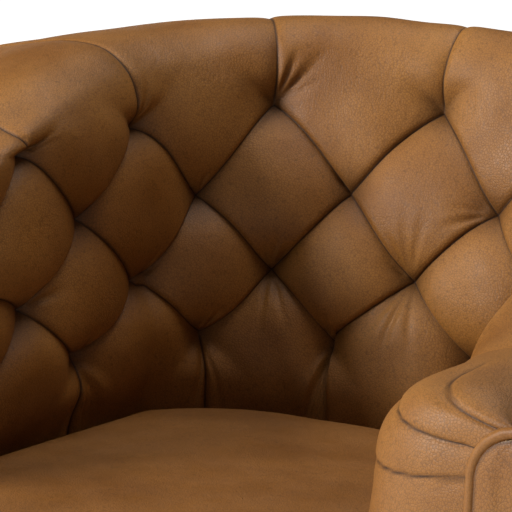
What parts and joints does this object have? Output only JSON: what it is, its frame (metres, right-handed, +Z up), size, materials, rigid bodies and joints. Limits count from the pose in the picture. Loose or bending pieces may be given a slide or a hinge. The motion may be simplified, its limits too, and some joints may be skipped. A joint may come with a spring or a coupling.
{
  "type": "upholstered armchair",
  "caption": "Leather barrel armchair with a deep diamond-tufted curved back running into rolled, piped arms, a loose seat cushion and short tapered wooden legs.",
  "frame": {"origin": "on the floor under the middle of the chair's bounding box", "axes": "+X to the viewer's right, along the seat's width; +Y towards the chair's back, so the front faces -Y; +Z up"},
  "size_m": [0.911, 0.797, 0.778],
  "materials": {
    "leather_cover": "semi-matt pebbled aniline leather",
    "foam": "open-cell foam with a felted wrap",
    "lining_cloth": "plain woven lining cloth",
    "frame_wood": "raw sawn hardwood and plywood",
    "leg_wood": "dark stained, satin lacquer",
    "steel": "zinc plated",
    "glide_plastic": "matt black nylon"
  },
  "bodies": {
    "chair": {"base_rail": "frame_wood", "base_front_rail": "frame_wood", "seat_front_rail": "frame_wood", "seat_side_rail_left": "frame_wood", "seat_side_rail_right": "frame_wood", "seat_back_rail": "frame_wood", "corner_blocks": "frame_wood", "upright_1": "frame_wood", "upright_2": "frame_wood", "upright_3": "frame_wood", "upright_4": "frame_wood", "upright_5": "frame_wood", "upright_6": "frame_wood", "upright_7": "frame_wood", "arm_post_left": "frame_wood", "arm_post_right": "frame_wood", "facing_block_left": "frame_wood", "facing_block_right": "frame_wood", "top_rail": "frame_wood", "arm_rail_left": "frame_wood", "arm_rail_right": "frame_wood", "seat_springs": "steel", "spring_clips": "steel", "deck_panel": "lining_cloth", "back_hessian": "lining_cloth", "tuft_ties": "lining_cloth", "back_pad": "foam", "side_pad_left": "foam", "side_pad_right": "foam", "nose_pad_left": "foam", "nose_pad_right": "foam", "inside_cover": "leather_cover", "outside_lining": "lining_cloth", "outside_back_cover": "leather_cover", "outside_side_cover_left": "leather_cover", "outside_side_cover_right": "leather_cover", "outside_welt": "leather_cover", "facing_board_left": "frame_wood", "facing_board_right": "frame_wood", "facing_cover_left": "leather_cover", "facing_cover_right": "leather_cover", "facing_welt_left": "leather_cover", "facing_welt_right": "leather_cover", "front_border_pad": "foam", "front_border_cover": "leather_cover", "dust_cover": "lining_cloth", "leg_front_left": "leg_wood", "leg_front_right": "leg_wood", "leg_back_left": "leg_wood", "leg_back_right": "leg_wood", "leg_plates": "steel", "leg_bolts": "steel", "leg_glides": "glide_plastic"},
    "seat_cushion": {"cushion_cover": "leather_cover", "cushion_core": "foam", "cushion_zip": "steel"}
  },
  "joints": [
    {"name": "cushion_lift", "type": "slide", "parent": "chair", "child": "seat_cushion", "axis": [0, 0, 1], "range_m": [0, 0.5]}
  ]
}
